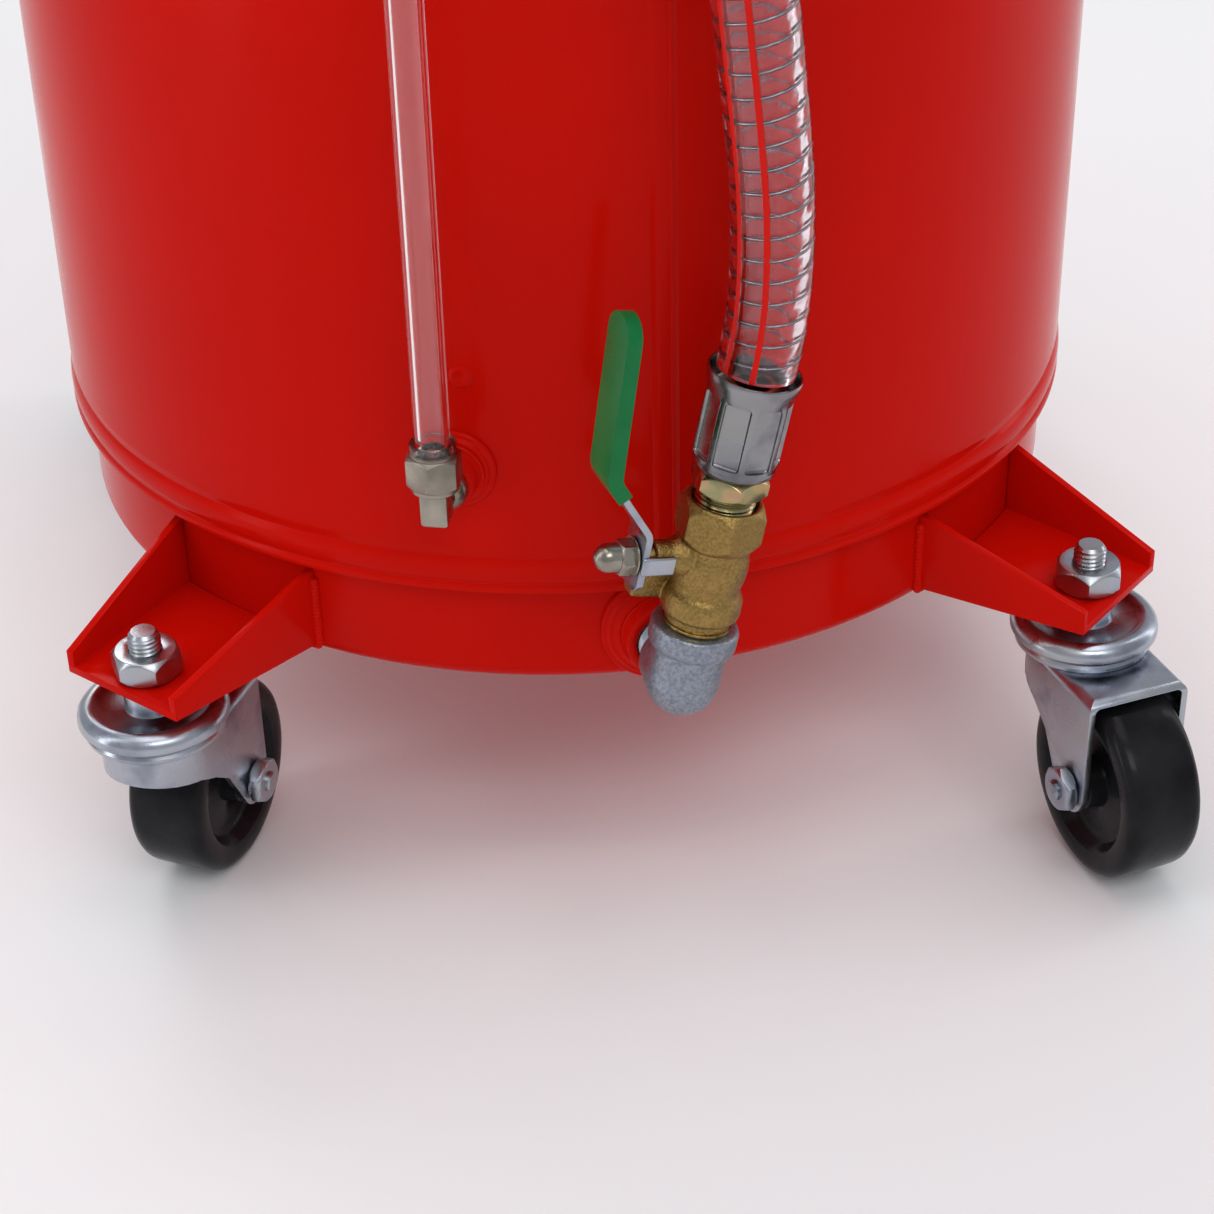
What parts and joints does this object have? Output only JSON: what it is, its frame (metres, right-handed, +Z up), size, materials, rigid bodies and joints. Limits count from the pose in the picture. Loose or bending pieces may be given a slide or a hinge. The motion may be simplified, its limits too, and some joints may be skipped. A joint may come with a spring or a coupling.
{
  "type": "waste oil drain tank",
  "caption": "Upright steel drain tank on swivel casters with a sight gauge, a bottom ball valve with a clear drain hose, a push handle and a funnel on a sliding mast.",
  "frame": {"origin": "on the floor, under the tank's axis", "axes": "+Z up; the outlet, valve and hose face -Y, the push handle is at +Y, +X is to the right of someone facing the valve"},
  "size_m": [0.4191, 0.5098, 1.061],
  "materials": {
    "red_paint": "glossy red enamel over steel",
    "bright_zinc": "bright bluish zinc plate",
    "galvanised_iron": "mottled hot-dip galvanised iron",
    "brass": "sand-blasted cast brass with turned ends",
    "yellow_zinc": "yellow passivated zinc plate",
    "nickel_plate": "nickel plate",
    "chrome_plate": "chrome plate",
    "clear_vinyl": "clear vinyl",
    "green_vinyl": "dipped green vinyl",
    "black_plastic": "glossy black plastic"
  },
  "bodies": {
    "root": {"tank_shell": "red_paint", "bottom_head": "red_paint", "top_head": "red_paint", "outlet_boss": "red_paint", "street_elbow": "galvanised_iron", "valve_body": "brass", "hose_nipple": "yellow_zinc", "hose_ferrule": "bright_zinc", "drain_hose": "clear_vinyl", "hose_coil": "clear_vinyl", "hose_nozzle": "bright_zinc", "hose_hook": "red_paint", "gauge_boss_lower": "red_paint", "gauge_boss_upper": "red_paint", "gauge_fitting_lower": "nickel_plate", "gauge_fitting_upper": "nickel_plate", "gauge_nut_lower": "nickel_plate", "gauge_nut_upper": "nickel_plate", "sight_tube": "clear_vinyl", "mast_guide": "red_paint", "push_handle": "red_paint", "pressure_gauge": "black_plastic", "relief_valve": "brass", "air_valve": "brass", "leg_front_right": "red_paint", "caster_stem_front_right": "bright_zinc", "stem_nut_front_right": "bright_zinc", "leg_rear_right": "red_paint", "caster_stem_rear_right": "bright_zinc", "stem_nut_rear_right": "bright_zinc", "leg_rear_left": "red_paint", "caster_stem_rear_left": "bright_zinc", "stem_nut_rear_left": "bright_zinc", "leg_front_left": "red_paint", "caster_stem_front_left": "bright_zinc", "stem_nut_front_left": "bright_zinc"},
    "caster_front_right": {"fork_front_right": "bright_zinc", "axle_bolt_front_right": "bright_zinc"},
    "wheel_front_right": {"wheel_front_right": "black_plastic"},
    "caster_rear_right": {"fork_rear_right": "bright_zinc", "axle_bolt_rear_right": "bright_zinc"},
    "wheel_rear_right": {"wheel_rear_right": "black_plastic"},
    "caster_rear_left": {"fork_rear_left": "bright_zinc", "axle_bolt_rear_left": "bright_zinc"},
    "wheel_rear_left": {"wheel_rear_left": "black_plastic"},
    "caster_front_left": {"fork_front_left": "bright_zinc", "axle_bolt_front_left": "bright_zinc"},
    "wheel_front_left": {"wheel_front_left": "black_plastic"},
    "valve_lever": {"valve_ball": "chrome_plate", "valve_stem": "brass", "valve_lever": "bright_zinc", "lever_grip": "green_vinyl", "lever_nut": "nickel_plate"},
    "mast": {"mast_tube": "chrome_plate", "funnel_bowl": "red_paint", "funnel_strainer": "bright_zinc"},
    "clamp_knob": {"clamp_knob": "black_plastic"},
    "air_lever": {"air_lever": "bright_zinc"}
  },
  "joints": [
    {"name": "swivel_front_right", "type": "hinge", "parent": "root", "child": "caster_front_right", "pos_m": [0.17324, -0.17324, 0.08], "axis": [0, 0, 1], "continuous": true},
    {"name": "roll_front_right", "type": "hinge", "parent": "caster_front_right", "child": "wheel_front_right", "pos_m": [0.1806, -0.20438, 0.0375], "axis": [0.9732, 0.23, 0], "continuous": true},
    {"name": "swivel_rear_right", "type": "hinge", "parent": "root", "child": "caster_rear_right", "pos_m": [0.17324, 0.17324, 0.08], "axis": [0, 0, 1], "continuous": true},
    {"name": "roll_rear_right", "type": "hinge", "parent": "caster_rear_right", "child": "wheel_rear_right", "pos_m": [0.17989, 0.20454, 0.0375], "axis": [-0.9781, 0.2079, 0], "continuous": true},
    {"name": "swivel_rear_left", "type": "hinge", "parent": "root", "child": "caster_rear_left", "pos_m": [-0.17324, 0.17324, 0.08], "axis": [0, 0, 1], "continuous": true},
    {"name": "roll_rear_left", "type": "hinge", "parent": "caster_rear_left", "child": "wheel_rear_left", "pos_m": [-0.18419, 0.20331, 0.0375], "axis": [-0.9397, -0.342, 0], "continuous": true},
    {"name": "swivel_front_left", "type": "hinge", "parent": "root", "child": "caster_front_left", "pos_m": [-0.17324, -0.17324, 0.08], "axis": [0, 0, 1], "continuous": true},
    {"name": "roll_front_left", "type": "hinge", "parent": "caster_front_left", "child": "wheel_front_left", "pos_m": [-0.15871, -0.14473, 0.0375], "axis": [-0.891, 0.454, 0], "continuous": true},
    {"name": "valve_lever_turn", "type": "hinge", "parent": "root", "child": "valve_lever", "pos_m": [0.02196, -0.2299, 0.16737], "axis": [0.9455, 0.2544, -0.2034], "range_deg": [0, 90]},
    {"name": "mast_slide", "type": "slide", "parent": "root", "child": "mast", "axis": [0, 0, 1], "range_m": [0, 0.35]},
    {"name": "clamp_knob_turn", "type": "hinge", "parent": "root", "child": "clamp_knob", "pos_m": [-0.04, 0, 0.744], "axis": [-1, 0, 0], "range_deg": [-360, 0]},
    {"name": "air_lever_turn", "type": "hinge", "parent": "root", "child": "air_lever", "pos_m": [0.01708, 0.06375, 0.72052], "axis": [0.9659, -0.2588, 0], "range_deg": [0, 90]}
  ]
}
